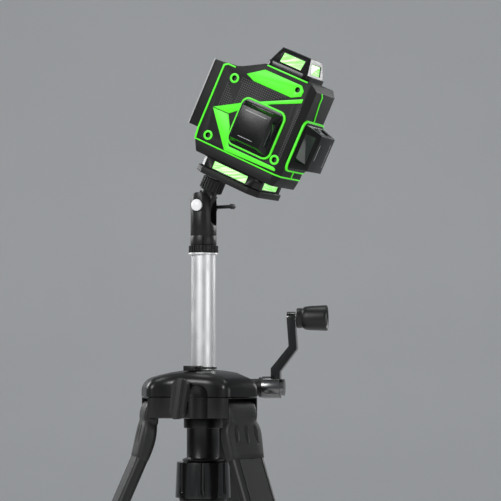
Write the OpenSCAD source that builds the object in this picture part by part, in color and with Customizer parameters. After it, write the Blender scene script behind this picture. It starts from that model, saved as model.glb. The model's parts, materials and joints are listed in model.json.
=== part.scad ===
// Cross-line laser level on a crank-column tripod.
// Millimetres, +Z up. The floor is Z = 0 and the origin is the centre of the
// box round the three feet; the column stands a little off it, at col_x, col_y.
// The laser is shown tipped on the tilt head and the column partly raised.

/* [Stance] */
// height of the leg pivots above the floor
pivot_z = 512; // [430:1:620]
// lean of each leg from the vertical, degrees
splay = 23.5; // [18:0.5:27]
// distance of the leg pivots from the column axis
pivot_r = 53; // [50:0.5:62]

/* [Legs] */
// width of the upper leg tube across its outer face
leg_w = 40; // [33:0.5:44]
// thickness of the upper leg tube
leg_t = 12.5; // [11:0.5:15]
// wall of the leg tubes
leg_wall = 1.5; // [1:0.1:2]
// length of the lower leg tube that shows under the lock
leg_show = 78; // [50:1:140]
// diameter of the rubber foot
foot_d = 42; // [36:1:52]

/* [Column] */
// outside diameter of the lifting tube
tube_d = 24; // [20:0.5:28]
// wall of the lifting tube
tube_wall = 1.8; // [1.3:0.1:2.4]
// length of the lifting tube
tube_len = 360; // [330:1:430]
// height the lifting tube stands out of the crown
tube_rise = 113; // [90:1:150]

/* [Crown] */
// height of the crown cover at the column
crown_h = 28; // [24:0.5:34]
// half width of one crown lobe
lobe_w = 22.4; // [22:0.1:25]
// radius of the round middle of the crown
crown_r = 41; // [38:0.5:45]
// length of the guide tube below the crown
guide_len = 92; // [80:1:120]

/* [Crank] */
// throw of the crank from its shaft to the knob axle
crank_throw = 69; // [50:1:85]
// diameter of the crank knob
knob_d = 25; // [18:0.5:30]
// number of teeth of the lift pinion
pinion_n = 12; // [10:1:16]

/* [Tilt head] */
// height of the tilt axis above the top of the lifting tube
hinge_up = 49; // [40:1:62]
// lean of the laser, degrees
tilt = 25.8; // [0:0.2:50]
// length from the tilt axis to the seat of the laser
arm_len = 33.7; // [30:0.1:45]

/* [Laser] */
// length of the laser body, front to back
body_l = 100; // [85:1:120]
// width of the laser body
body_w = 61.4; // [52:0.2:74]
// height of the laser body over its turntable
body_h = 106; // [96:1:125]
// side of a beam head at its root
head_root = 53; // [44:0.5:56]
// stand-off of the beam heads
head_out = 20; // [15:0.5:25]
// side of the square base plate
base_w = 72; // [64:0.5:82]

/* [Hidden] */
$fn = 48;
fit = 0.05;        // radial clearance of pins and turning rings
gap = 0.35;        // clearance between sliding flats
ee = 1;            // overrun of a cut
leg_az = [192, 312, 72];
lock_az = 244;     // column lock wing
valley_az = 263;   // flute in the crown beside the wing
crank_az = -9;     // direction the crank shaft points
tilt_az = -27;     // direction the laser leans
laser_az = -22.6;  // direction the laser faces

// legs
bend = 9.6;                                // tube axis inside the pivot
foot_h = 16;                               // ankle above the floor
leg_len = (pivot_z - bend*sin(splay) - foot_h)/cos(splay);
foot_rad = pivot_r - bend*cos(splay) + leg_len*sin(splay);
tongue_w = leg_w - 4;
seam = 49;                                 // foot end of the casting
socket = 13;
tube2_w = leg_w - 2*leg_wall - 2*gap;
tube2_t = leg_t - 2*leg_wall - 2*gap;
tube_end = leg_len - 34 - leg_show;        // lower end of the upper tube
pin_r = 3;
barrel_r = 8;

// column axis, so that the feet are centred on the origin
col_x = -foot_rad*(cos(leg_az[0]) + cos(leg_az[1]))/2;
col_y = -foot_rad*(sin(leg_az[2]) + sin(leg_az[1]))/2;

// crown
crown_bot = pivot_z - 9;
split_z = pivot_z + 12;
crown_top = split_z + crown_h;
lobe_end = pivot_r + 6;
slot_w = tongue_w + 0.6;
shell = 3;
dome_r = 170;

// lifting tube and rack
tube_r = tube_d/2;
tube_top = crown_top + tube_rise;
module_p = PI;                             // pitch of a module 1 rack
pin_pitch = pinion_n/2;
rack_w = 6;
rack_tip = tube_r + 1.6;
rack_line = rack_tip - 1;
shaft_y = rack_line + pin_pitch;
shaft_r = 4;
shaft_z = split_z + 9;
rack_from = tube_top - tube_len + 8;
rack_n = floor((tube_len - 26)/module_p);
rack_to = rack_from + rack_n*module_p;
rack_lo = ceil((rack_from - shaft_z)/module_p) + 1;
rack_hi = floor((rack_to - shaft_z)/module_p) - 2;

// guide under the crown
guide_r = tube_r + 4.25;
guide_bot = crown_bot - guide_len;
collar_top = crown_bot - 43;
collar_h = 35;

// crank
hub_r = 11;
hub_x = lobe_end - 2;
hub_l = 18;
arm_t = 9;
arm_x = hub_x + hub_l - 4.5;
kick = 18;                                 // outward set of the crank arm
knob_x = arm_x + kick + 2.6;

// tilt head
head_r = tube_r + 1;
hinge_z = tube_top + hinge_up;
fork = 12;
grip_r = head_r - 1;

// laser, measured from the base plate's underside under the head axis
laser_off = 36;                            // head axis ahead of the screw
base_t = 6.5;
base_x = -10.5;
bz0 = base_t + 10;                         // underside of the body
bz1 = bz0 + body_h;
band_z = bz0 + 11.3;
bx0 = -0.615*body_l;
bx1 = 0.385*body_l;
hy = body_w/2;
head_z = bz0 + 45;
head_x = -2.4;
head_tip = 0.69*head_root;
side_root = head_root - 3;                 // the head on the broad face is smaller
side_tip = 0.66*side_root;
side_out = head_out - 5;
top_root = 47;
trim = 0.7;

// ---- frames and small shapes ----

module at_column(az = 0) { translate([col_x, col_y, 0]) rotate([0, 0, az]) children(); }

// pivot of leg i at the origin, tube running down -Z, +X outward
module leg_frame(i) {
    at_column(leg_az[i]) translate([pivot_r, 0, pivot_z]) rotate([0, -splay, 0]) children();
}

// the crank shaft along +X
module crank_frame() {
    at_column(crank_az) translate([0, shaft_y, shaft_z]) children();
}

// tilt axis at the origin along Y, unleaned
module hinge_frame() { at_column(tilt_az) translate([0, 0, hinge_z]) children(); }

module tilt_frame() { hinge_frame() rotate([0, tilt, 0]) children(); }

// base plate's underside on the head axis, +X to the laser's front
module laser_frame() {
    tilt_frame() rotate([0, 0, laser_az - tilt_az]) translate([laser_off, 0, arm_len]) children();
}

module round_rect(x, y, r) {
    square([x - 2*r, y], center = true);
    square([x, y - 2*r], center = true);
    for (i = [-1, 1], j = [-1, 1]) translate([i*(x/2 - r), j*(y/2 - r)]) circle(r);
}

module cut_rect(x, y, c) {
    polygon([[c - x/2, -y/2], [x/2 - c, -y/2], [x/2, c - y/2], [x/2, y/2 - c],
        [x/2 - c, y/2], [c - x/2, y/2], [-x/2, y/2 - c], [-x/2, c - y/2]]);
}

// rod along X from a to b
module xrod(r, a, b) { translate([a, 0, 0]) rotate([0, 90, 0]) cylinder(r = r, h = b - a); }

// rod along Y from a to b
module yrod(r, a, b) { translate([0, b, 0]) rotate([90, 0, 0]) cylinder(r = r, h = b - a); }

// a profile in X and Z drawn across Y
module across(w) { rotate([90, 0, 0]) linear_extrude(w, center = true) children(); }

// a profile in Y and Z drawn along X
module along(a, b) { translate([a, 0, 0]) rotate([90, 0, 90]) linear_extrude(b - a) children(); }

// square frustum, root on the XY plane
module frustum(a, b, h) {
    polyhedron(points = [[-a, -a, 0], [a, -a, 0], [a, a, 0], [-a, a, 0],
            [-b, -b, h], [b, -b, h], [b, b, h], [-b, b, h]],
        faces = [[0, 1, 2, 3], [4, 7, 6, 5], [0, 4, 5, 1], [1, 5, 6, 2], [2, 6, 7, 3], [3, 7, 4, 0]]);
}

// ---- crown ----

module crown_plan(grow) {
    circle(crown_r + grow, $fn = 96);
    for (a = leg_az) rotate([0, 0, a]) translate([lobe_end/2 + grow/2, 0])
        round_rect(lobe_end + grow, 2*(lobe_w + grow), 5);
}

module column_bore(r, z0, z1) {
    translate([0, 0, z0]) cylinder(r = r, h = z1 - z0);
    rotate([0, 0, crank_az]) translate([-rack_w/2 - 0.3, 0, z0])
        cube([rack_w + 0.6, rack_tip + 0.4, z1 - z0]);
}

// upright flute with a round top beside the column lock
module valley() {
    rotate([0, 0, valley_az]) translate([crown_r + 7, 0, 0]) {
        translate([0, 0, crown_bot - ee]) cylinder(r = 12, h = split_z + 3 - crown_bot);
        translate([0, 0, split_z + 2]) sphere(r = 12);
    }
}

module crown_body() color([0.06, 0.06, 0.07]) at_column() difference() {
    union() {
        translate([0, 0, crown_bot]) linear_extrude(split_z - crown_bot) crown_plan(0);
        // gear case over the pinion, under the cover
        rotate([0, 0, crank_az]) {
            translate([-13, -tube_r - 4, split_z - ee]) cube([26, shaft_y + tube_r + 12, 19 + ee]);
            translate([hub_x - 22, shaft_y - 10.5, split_z - ee]) cube([16, 21, 19.5 + ee]);
        }
    }
    column_bore(tube_r + 2*fit, crown_bot - ee, crown_top);
    // seat of the guide tube
    translate([0, 0, crown_bot - ee]) cylinder(r = guide_r, h = 10 + ee);
    for (a = leg_az) rotate([0, 0, a]) {
        translate([pivot_r - 12, -slot_w/2, crown_bot - ee]) cube([40, slot_w, 20 + ee]);
        // the pin snaps down into its seat before the cover goes on
        translate([pivot_r, 0, pivot_z]) {
            yrod(pin_r, 2 - lobe_w, lobe_w - 2);
            translate([0.4 - pin_r, 2 - lobe_w, 0]) cube([2*pin_r - 0.8, 2*lobe_w - 4, 20]);
        }
    }
    rotate([0, 0, crank_az]) translate([0, shaft_y, shaft_z]) {
        xrod(pin_pitch + 1.6, -9.5, 9.5);
        translate([-9.5, -shaft_y, -pin_pitch - 1.6]) cube([19, shaft_y, 2*pin_pitch + 3.2]);
        xrod(shaft_r + fit, -14, hub_x);
        xrod(8.5, hub_x - 16, hub_x);
    }
    valley();
    rotate([0, 0, lock_az]) translate([0, 0, split_z - 2]) xrod(3, tube_r, crown_r + 9);
}

module crown_cover() color([0.05, 0.05, 0.06]) at_column() difference() {
    intersection() {
        translate([0, 0, split_z]) linear_extrude(crown_h) crown_plan(1);
        translate([0, 0, crown_top - dome_r]) sphere(r = dome_r, $fn = 128);
        translate([0, 0, split_z - ee]) cylinder(r1 = lobe_end + 14, r2 = lobe_end - 8, h = crown_h);
    }
    intersection() {
        translate([0, 0, split_z - ee]) linear_extrude(crown_h) crown_plan(-shell);
        translate([0, 0, crown_top - dome_r]) sphere(r = dome_r - shell - 1, $fn = 128);
    }
    column_bore(tube_r + 2*fit, split_z - ee, crown_top + ee);
    rotate([0, 0, crank_az]) translate([0, shaft_y, shaft_z]) {
        xrod(8.5, 20, lobe_end + 20);
        translate([hub_x - 24, -10.6, -shaft_z + split_z - ee]) cube([19, 21.2, 20.7]);
    }
    valley();
    rotate([0, 0, lock_az]) translate([0, 0, split_z - 2]) xrod(3.2, tube_r, crown_r + 9);
}

module column_clamp() color([0.04, 0.04, 0.04]) at_column() difference() {
    union() {
        translate([0, 0, crown_top - 1]) cylinder(r = tube_r + 1.5, h = 2.2);
        // the two ears of the clamp
        intersection() {
            translate([0, 0, crown_top - 8]) cylinder(r = tube_r + 17, h = 10.4);
            union() {
                rotate([0, 0, lock_az - 3]) translate([tube_r, -6, crown_top - 8]) cube([30, 12, 20]);
                rotate([0, 0, lock_az + 16]) translate([tube_r, -2, crown_top - 8]) cube([10, 4, 20]);
            }
        }
    }
    column_bore(tube_r + 2*fit, crown_top - 10, crown_top + 5);
    rotate([0, 0, lock_az + 11.5]) translate([tube_r - 3, -0.8, crown_top - 9]) cube([20, 1.6, 16]);
    // the cover's dome
    translate([0, 0, crown_top - dome_r]) sphere(r = dome_r, $fn = 128);
}

module leg_pivot_pins() color([0.5, 0.5, 0.52])
    for (a = leg_az) at_column(a) translate([pivot_r, 0, pivot_z]) {
        yrod(pin_r, 2.1 - lobe_w, lobe_w - 2.1);
    }

module guide_tube() color([0.05, 0.05, 0.05]) at_column() difference() {
    union() {
        translate([0, 0, guide_bot]) cylinder(r = guide_r, h = crown_bot + 10 - guide_bot);
        translate([0, 0, crown_bot - 10]) cylinder(r = guide_r + 3, h = 10);
        translate([0, 0, collar_top]) cylinder(r1 = guide_r + 3.6, r2 = guide_r + 4.6, h = 2);
        translate([0, 0, collar_top + 2]) cylinder(r1 = guide_r + 4.6, r2 = guide_r + 1, h = 1.6);
    }
    column_bore(tube_r + 2*fit, guide_bot - ee, crown_bot + 12);
}

module guide_tip() color([0.03, 0.03, 0.03]) at_column() difference() {
    translate([0, 0, guide_bot]) cylinder(r1 = guide_r + 5, r2 = guide_r + 7.5, h = collar_top - collar_h - guide_bot - 0.4);
    translate([0, 0, guide_bot - ee]) cylinder(r = guide_r, h = 60);
}

module guide_collar() color([0.03, 0.03, 0.03]) at_column() difference() {
    translate([0, 0, collar_top - collar_h]) cylinder(r1 = guide_r + 11.2, r2 = guide_r + 9.8, h = collar_h - 0.4);
    translate([0, 0, collar_top - collar_h - ee]) cylinder(r = guide_r + fit, h = collar_h + 2);
    for (k = [0:6]) rotate([0, 0, 360/7*k - 89]) {
        translate([guide_r + 11, 0, collar_top - collar_h + 6]) cylinder(r = 2.2, h = collar_h, $fn = 24);
        translate([guide_r + 11, 0, collar_top - collar_h + 6]) sphere(r = 2.2, $fn = 24);
    }
}

module crank_bush() color([0.06, 0.06, 0.06]) crank_frame() difference() {
    union() {
        xrod(8.5, hub_x - 16, hub_x - 3.4);
        xrod(10, hub_x - 3.4, hub_x - 0.4);
    }
    xrod(shaft_r + fit, hub_x - 17, hub_x + ee);
}

module wing_knob() color([0.04, 0.04, 0.04]) at_column(lock_az) translate([0, 0, split_z - 2]) {
    xrod(2.95, tube_r + 1, crown_r + 2);
    xrod(6, crown_r + 1.4, crown_r + 8);
    rotate([-9, 0, 0]) translate([crown_r + 8, 0, 0]) difference() {
        along(-1.5, 6) {
            translate([0, 12]) circle(8.5);
            translate([0, -12]) circle(7.5);
            polygon([[-8.5, 12], [8.5, 12], [7.5, -12], [-7.5, -12]]);
        }
        for (s = [-1, 1]) translate([7.6, s*9, 0]) rotate([0, 0, -s*25]) cube([5, 14, 44], center = true);
    }
}

// ---- lifting column ----

module column_tube() color([0.7, 0.71, 0.72]) at_column() difference() {
    translate([0, 0, tube_top - tube_len]) cylinder(r = tube_r, h = tube_len, $fn = 64);
    translate([0, 0, tube_top - tube_len - ee]) cylinder(r = tube_r - tube_wall, h = tube_len + 2*ee);
    rotate([0, 0, crank_az]) translate([-rack_w/2, 0, rack_from - 1])
        cube([rack_w, tube_d, rack_n*module_p + 2]);
}

// one tooth of the rack is 1 module high with flanks at 20 degrees
module column_rack() color([0.55, 0.56, 0.58]) at_column(crank_az)
    translate([0, rack_line, shaft_z + module_p/2]) rotate([90, 0, 90]) linear_extrude(rack_w, center = true)
        polygon(concat([[-3.4, rack_from - shaft_z - module_p/2], [-1.25, rack_from - shaft_z - module_p/2]],
            [for (k = [rack_lo : rack_hi]) for (q = [[-1.25, -1], [0.85, -0.3], [0.85, 0.3], [-1.25, 1]])
                [q[0], k*module_p + q[1]]],
            [[-1.25, rack_to - shaft_z - module_p/2], [-3.4, rack_to - shaft_z - module_p/2]]));

module column_end_cap() color([0.03, 0.03, 0.03]) at_column() difference() {
    union() {
        translate([0, 0, tube_top - tube_len - 8]) cylinder(r1 = tube_r - 1, r2 = tube_r, h = 8);
        translate([0, 0, tube_top - tube_len - ee]) cylinder(r = tube_r - tube_wall, h = 7);
    }
    translate([0, 0, tube_top - tube_len - 9]) cylinder(r = 2.5, h = 18);
}

module weight_hook() color([0.6, 0.6, 0.62]) at_column() translate([0, 0, tube_top - tube_len - 8]) {
    translate([0, 0, -4]) cylinder(r = 2.5, h = 18);
    translate([0, 0, -12]) rotate([90, 0, 0]) rotate_extrude() translate([9, 0]) circle(2.5, $fn = 24);
}

module head_flange() color([0.75, 0.76, 0.77]) at_column() difference() {
    union() {
        translate([0, 0, tube_top]) cylinder(r = tube_r + 2.7, h = 1.6);
        translate([0, 0, tube_top - 14]) cylinder(r = tube_r - tube_wall, h = 15);
        // spigot the head turns on
        translate([0, 0, tube_top]) cylinder(r = tube_r - 4, h = 16);
    }
    translate([0, 0, tube_top - 15]) cylinder(r = tube_r - 7, h = 40);
}

// ---- tilt head ----

module pan_ring() color([0.03, 0.03, 0.03]) at_column() difference() {
    union() {
        translate([0, 0, tube_top + 2]) cylinder(r = head_r + 1.1, h = 7.2);
        for (k = [0:23]) rotate([0, 0, 15*k]) translate([head_r + 1.1, 0, tube_top + 2]) cylinder(r = 0.7, h = 7.2, $fn = 16);
    }
    translate([0, 0, tube_top + 1]) cylinder(r = tube_r - 4 + fit, h = 10);
}

module head_body() color([0.05, 0.05, 0.055]) hinge_frame() difference() {
    union() {
        translate([0, 0, 9.6 - hinge_up]) cylinder(r = head_r, h = hinge_up - 9.6);
        intersection() {
            cylinder(r = head_r, h = 30);
            yrod(head_r, -head_r - 2, head_r + 2);
        }
    }
    translate([-30, -fork/2, -14]) cube([60, fork, 40]);
    translate([0, 0, -14]) xrod(fork/2, -30, 30);
    yrod(4, -20, 20);
    translate([0, 0, 9 - hinge_up]) cylinder(r = tube_r - 4 + fit, h = 8);
    // split of the lower clamp
    rotate([0, 0, -90 - tilt_az]) translate([head_r - 3, -0.5, 9 - hinge_up]) cube([5, 1, 9.6]);
    translate([0, 0, 18.4 - hinge_up]) difference() {
        cylinder(r = head_r + 3, h = 1.2);
        translate([0, 0, -1]) cylinder(r = head_r - 0.6, h = 4);
    }
}

module tilt_pin() color([0.86, 0.87, 0.86]) hinge_frame() {
    yrod(4, -head_r - 0.4, head_r);
    yrod(5.75, -head_r - 2.2, -head_r - 0.4);
    intersection() {
        translate([0, -head_r + 5.6, 0]) sphere(r = 9.7);
        yrod(5.75, -head_r - 12, -head_r - 2.1);
    }
}

module tilt_arm() color([0.05, 0.05, 0.055]) tilt_frame() difference() {
    union() {
        yrod(8.5, -fork/2 + 0.2, fork/2 - 0.2);
        translate([-7.5, -fork/2 + 0.2, 0]) cube([15, fork - 0.4, head_r + 0.8]);
        translate([0, 0, head_r + 0.5]) cylinder(r = 8, h = arm_len - head_r - 3.5);
    }
    yrod(4 + fit, -20, 20);
    translate([0, 0, arm_len - 13]) cylinder(r = 3.15, h = 20);
}

module mount_screw() color([0.55, 0.55, 0.57]) tilt_frame() {
    translate([0, 0, arm_len - 12]) cylinder(r = 3.15, h = 17);
    translate([0, 0, arm_len - 3]) cylinder(r = grip_r - 0.6, h = 3);
}

module grip_sleeve() color([0.03, 0.03, 0.03]) tilt_frame() difference() {
    union() {
        translate([0, 0, head_r + 3.6]) cylinder(r = grip_r - 1, h = arm_len - head_r - 7);
        for (k = [0:15]) rotate([0, 0, 22.5*k]) translate([grip_r - 1.4, 0, head_r + 4.6])
            cylinder(r = 1.3, h = arm_len - head_r - 9, $fn = 20);
    }
    translate([0, 0, head_r]) cylinder(r = 8 + fit, h = arm_len);
}

module tilt_lever() color([0.04, 0.04, 0.04]) hinge_frame() {
    yrod(6, head_r + 0.4, head_r + 6);
    translate([0, head_r + 3.2, 0]) along(0, 24) round_rect(4.6, 3.6, 1.7);
    translate([24, 0, 0]) yrod(2.6, head_r + 0.9, head_r + 5.5);
}

// ---- crank ----

module pinion() color([0.6, 0.6, 0.6]) crank_frame() difference() {
    rotate([90, 0, 90]) linear_extrude(10, center = true) union() {
        circle(pin_pitch - 1.35);
        for (k = [0 : pinion_n - 1]) rotate(360/pinion_n*k)
            polygon([[pin_pitch - 1.6, -0.95], [pin_pitch, -0.62], [pin_pitch + 0.8, -0.28],
                [pin_pitch + 0.8, 0.28], [pin_pitch, 0.62], [pin_pitch - 1.6, 0.95]]);
    }
    xrod(shaft_r - 0.8, -10, 10);
}

module crank_shaft() color([0.62, 0.62, 0.64]) crank_frame() {
    xrod(shaft_r - 0.8, -8.2, 8.6);
    xrod(shaft_r, 8.4, hub_x + 8.8);
}

module crank_hub() color([0.05, 0.05, 0.05]) crank_frame() difference() {
    union() {
        xrod(hub_r, hub_x, hub_x + hub_l);
        xrod(8.4, hub_x + hub_l, hub_x + hub_l + 4);
    }
    xrod(shaft_r, hub_x - ee, hub_x + 9);
    translate([arm_x - 4.6, -6.6, 2.4]) cube([arm_t + 0.2, 13.2, 20]);
    // set screw
    translate([hub_x + 7, 0, 0]) rotate([114, 0, 0]) translate([0, 0, 9.4]) cylinder(r = 2, h = 4, $fn = 24);
}

module crank_arm() color([0.05, 0.05, 0.055]) crank_frame() difference() {
    union() {
        across(13) polygon([[arm_x - arm_t/2, 2.6], [arm_x + arm_t/2, 2.6], [arm_x + arm_t/2, 15.5],
            [arm_x + kick + arm_t/2 - 1, crank_throw - 31], [arm_x + kick + arm_t/2 - 3, crank_throw],
            [arm_x + kick - arm_t/2 - 2, crank_throw], [arm_x + kick - arm_t/2, crank_throw - 28],
            [arm_x - arm_t/2, 19]]);
        translate([0, 0, crank_throw]) difference() {
            xrod(6.5, arm_x + kick - arm_t/2 - 2, arm_x + kick + arm_t/2 - 3);
            translate([0, -10, -22]) cube([200, 20, 21]);
        }
    }
    translate([0, 0, crank_throw]) xrod(3, arm_x + kick - 3, arm_x + kick + 12);
}

module knob_axle() color([0.6, 0.6, 0.62]) crank_frame() translate([0, 0, crank_throw]) {
    xrod(3, arm_x + kick - 3, knob_x + 27.6);
    xrod(6, knob_x + 27.6, knob_x + 29.6);
}

module crank_knob() color([0.04, 0.04, 0.04]) crank_frame() translate([0, 0, crank_throw]) difference() {
    union() {
        xrod(10, knob_x + 0.4, knob_x + 7.5);
        xrod(knob_d/2 - 0.4, knob_x + 7.5, knob_x + 25);
        xrod(knob_d/2 + 0.4, knob_x + 25, knob_x + 31);
    }
    xrod(3 + fit, knob_x - ee, knob_x + 40);
    xrod(9, knob_x + 27.3, knob_x + 40);
    for (k = [0:13]) rotate([360/14*k, 0, 0]) translate([0, 0, knob_d/2 + 0.6]) xrod(1.3, knob_x + 9.5, knob_x + 23, $fn = 20);
}

// ---- legs ----

module leg_tube(w, t, r, z0, z1) {
    translate([-bend, 0, z0]) linear_extrude(z1 - z0) difference() {
        round_rect(t, w, r);
        round_rect(t - 2*leg_wall, w - 2*leg_wall, r - leg_wall);
    }
}

module leg_slug(w, t, r, z0, z1) {
    translate([-bend, 0, z0]) linear_extrude(z1 - z0) round_rect(t, w, r);
}

// slot with round ends, cut into an outer face
module oval(x, y, z, l, r) {
    translate([x, y, z]) { translate([0, 0, -l/2]) xrod(r, 0, 9); translate([0, 0, l/2]) xrod(r, 0, 9);
        translate([0, -r, -l/2]) cube([9, 2*r, l]); }
}

module leg_casting(i) color([0.07, 0.07, 0.075]) leg_frame(i) {
    hw = leg_w/2;
    tw = tongue_w/2;
    out = leg_t/2 + 1.2 - bend;
    in = -leg_t/2 - 1.2 - bend;
    difference() {
        union() {
            yrod(barrel_r, -tw, tw);
            intersection() {
                along(-30, 30) polygon([[tw, 0], [tw, -13], [hw + 0.4, -14.6], [hw + 1.8, -17], [hw + 2.7, -21],
                    [hw + 3, -26], [hw + 2.7, -32], [hw + 2, -39], [hw + 1.4, -45], [hw + 1.1, -seam],
                    [-hw - 1.1, -seam], [-hw - 1.4, -45], [-hw - 2, -39], [-hw - 2.7, -32], [-hw - 3, -26],
                    [-hw - 2.7, -21], [-hw - 1.8, -17], [-hw - 0.4, -14.6], [-tw, -13], [-tw, 0]]);
                across(80) polygon([[barrel_r, 0], [out + 9, -6], [out + 6.7, -13], [out + 3.4, -31],
                    [out, -seam], [in, -seam], [in, -36], [in + 1.5, -26], [-12, -14], [-barrel_r, -2],
                    [-barrel_r, 0]]);
            }
        }
        yrod(pin_r + fit, -60, 60);
        leg_slug(leg_w, leg_t, 5, -seam - ee, -seam + socket);
        for (s = [-1, 0, 1]) oval(out + 1.8, 11.5*s, -27.5, 14, 1.7);
    }
}

module leg_upper_tube(i) color([0.1, 0.1, 0.105]) leg_frame(i) difference() {
    leg_tube(leg_w, leg_t, 5, -tube_end, -seam + socket);
    for (s = [-1, 1]) translate([leg_t/2 - bend - 0.5, s*(leg_w/2 - 5.4) - 0.7, -tube_end - ee]) cube([2, 1.4, tube_end]);
}

module leg_lock_housing(i) color([0.03, 0.03, 0.03]) leg_frame(i) difference() {
    union() {
        leg_slug(leg_w + 7, leg_t + 6, 6, -tube_end - 12, -tube_end + 34);
        for (s = [-1, 1]) translate([leg_t/2 - bend + 7.7, 0, -tube_end + 22]) {
            yrod(5, s*11.5 - 2.5, s*11.5 + 2.5);
            translate([-7, s*11.5 - 2.5, -5]) cube([7, 5, 10]);
        }
    }
    leg_slug(leg_w, leg_t, 5, -tube_end, -tube_end + 40);
    leg_slug(tube2_w + 2*gap, tube2_t + 2*gap, 3.5, -tube_end - 20, -tube_end + 2);
    translate([leg_t/2 - bend + 7.7, 0, -tube_end + 22]) yrod(2.5 + fit, -20, 20);
}

module leg_lock_lever(i) color([0.12, 0.12, 0.12]) leg_frame(i)
    translate([leg_t/2 - bend + 7.7, 0, -tube_end + 22]) {
        yrod(4.2, -8.6, 8.6);
        yrod(2.5, -14, 14);
        across(17.2) polygon([[-2.6, -2], [4.1, 0], [3.4, -20], [5, -32], [2.2, -34], [-0.4, -30], [-1.6, -18]]);
    }

module leg_lower_tube(i) color([0.1, 0.1, 0.105]) leg_frame(i)
    leg_tube(tube2_w, tube2_t, 3.2, -leg_len + 4, -tube_end + 210);

module leg_foot(i) color([0.03, 0.03, 0.03]) difference() {
    union() {
        leg_frame(i) leg_slug(tube2_w + 5, tube2_t + 5, 4.5, -leg_len - 2, -leg_len + 34);
        at_column(leg_az[i]) translate([foot_rad, 0, 0]) {
            cylinder(r1 = foot_d/2 - 1.5, r2 = foot_d/2, h = 2);
            translate([0, 0, 2]) cylinder(r = foot_d/2, h = 5);
            translate([0, 0, 7]) cylinder(r1 = foot_d/2 - 1, r2 = foot_d/2 - 6, h = foot_h - 3);
        }
    }
    leg_frame(i) leg_slug(tube2_w, tube2_t, 3.2, -leg_len + 4, -leg_len + 50);
}

module leg_1_casting() leg_casting(0);
module leg_1_upper_tube() leg_upper_tube(0);
module leg_1_lock_housing() leg_lock_housing(0);
module leg_1_lock_lever() leg_lock_lever(0);
module leg_1_lower_tube() leg_lower_tube(0);
module leg_1_foot() leg_foot(0);
module leg_2_casting() leg_casting(1);
module leg_2_upper_tube() leg_upper_tube(1);
module leg_2_lock_housing() leg_lock_housing(1);
module leg_2_lock_lever() leg_lock_lever(1);
module leg_2_lower_tube() leg_lower_tube(1);
module leg_2_foot() leg_foot(1);
module leg_3_casting() leg_casting(2);
module leg_3_upper_tube() leg_upper_tube(2);
module leg_3_lock_housing() leg_lock_housing(2);
module leg_3_lock_lever() leg_lock_lever(2);
module leg_3_lower_tube() leg_lower_tube(2);
module leg_3_foot() leg_foot(2);

// ---- laser ----

module laser_base() color([0.04, 0.04, 0.045]) laser_frame() difference() {
    union() {
        translate([base_x, 0, 0]) linear_extrude(base_t) cut_rect(base_w, base_w, 9);
        translate([base_x, 0, base_t - ee]) cylinder(r = 12, h = 7 + ee);
    }
    // threaded holes: the wide one in the middle, the narrow one on the screw
    translate([base_x, 0, -ee]) cylinder(r = 7.9, h = 12 + ee);
    translate([-laser_off, 0, -ee]) cylinder(r = 3.2, h = 5.6 + ee);
}

// pillars and floor of the lower beam head, which is also the turntable
module bottom_head() color([0.05, 0.05, 0.055]) laser_frame() translate([base_x, 0, 0]) difference() {
    translate([0, 0, base_t + 0.4]) linear_extrude(bz0 - base_t - 0.4) cut_rect(base_w - 4, body_w + 2, 6);
    translate([0, 0, base_t]) cylinder(r = 12 + fit, h = 7.4);
    for (a = [0, 90]) rotate([0, 0, a]) translate([-60, -19.5, base_t + 1.6]) cube([38, 39, 7.4]);
    for (a = [180, 270]) rotate([0, 0, a]) translate([-60, -19.5, base_t + 1.6]) cube([38, 39, 7.4]);
}

module body_plan(g) {
    polygon([[bx0 - 4, -hy - g], [bx1 - 6, -hy - g], [bx1 + g, -hy + 6], [bx1 + g, hy - 6],
        [bx1 - 6, hy + g], [bx0 - 4, hy + g]]);
}

module body_side() {
    polygon([[bx0 + 8, bz0], [bx0 + 1.5, band_z], [bx0, band_z + 10], [bx0, bz1 - 16.5], [bx0 + 4, bz1 - 14],
        [bx0 + 12, bz1 - 14], [bx0 + 20.5, bz1 - 11], [bx0 + 41.5, bz1], [bx1 - 7, bz1], [bx1, bz1 - 6],
        [bx1, band_z], [bx1 - 3, bz0]]);
}

module laser_block() {
    intersection() {
        across(body_w) body_side();
        translate([0, 0, bz0 - ee]) linear_extrude(body_h + 2*ee) body_plan(0);
    }
}

module laser_skirt() color([0.05, 0.05, 0.05]) laser_frame() intersection() {
    laser_block();
    translate([bx0 - 10, -hy - ee, bz0 - ee]) cube([body_l + 20, body_w + 2*ee, band_z - bz0 + ee - 0.6]);
}

module battery_block(g) {
    translate([bx0 - ee, -18 - g, bz0 + 31 - g]) cube([18 + ee + g, 36 + 2*g, 50 + 2*g]);
}

// a spot on a broad face, given for a body 100 long and 106 high
function on_face(q) = [q[0]*body_l/100, bz0 + (q[1] - 16.5)*body_h/106];

screw_spots = [for (q = [[-44.7, 97.3], [-47.4, 35.8], [27.6, 41], [21.6, 111.6]]) on_face(q)];

module laser_body() color([0.05, 0.05, 0.055]) laser_frame() difference() {
    intersection() {
        laser_block();
        translate([bx0 - 10, -hy - ee, band_z + 0.8]) cube([body_l + 20, body_w + 2*ee, body_h]);
    }
    battery_block(gap);
    for (p = screw_spots, s = [-1, 1]) translate([p[0], s*hy, p[1]]) yrod(2.7, -4, 4);
    // pocket of the button on the rear slope
    button_frame() translate([-6.5, -7.8, -2.2]) cube([13, 15.6, 5]);
    // groove of the lock switch on the far face
    translate([bx0 + 40, hy - 2.2, bz0 + 90]) cube([24, 4, 5]);
}

// middle of the rear slope, +Z out of it
module button_frame() {
    translate([bx0 + 29, 0, bz1 - 6.55]) rotate([0, -atan2(11, 21), 0]) children();
}

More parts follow.
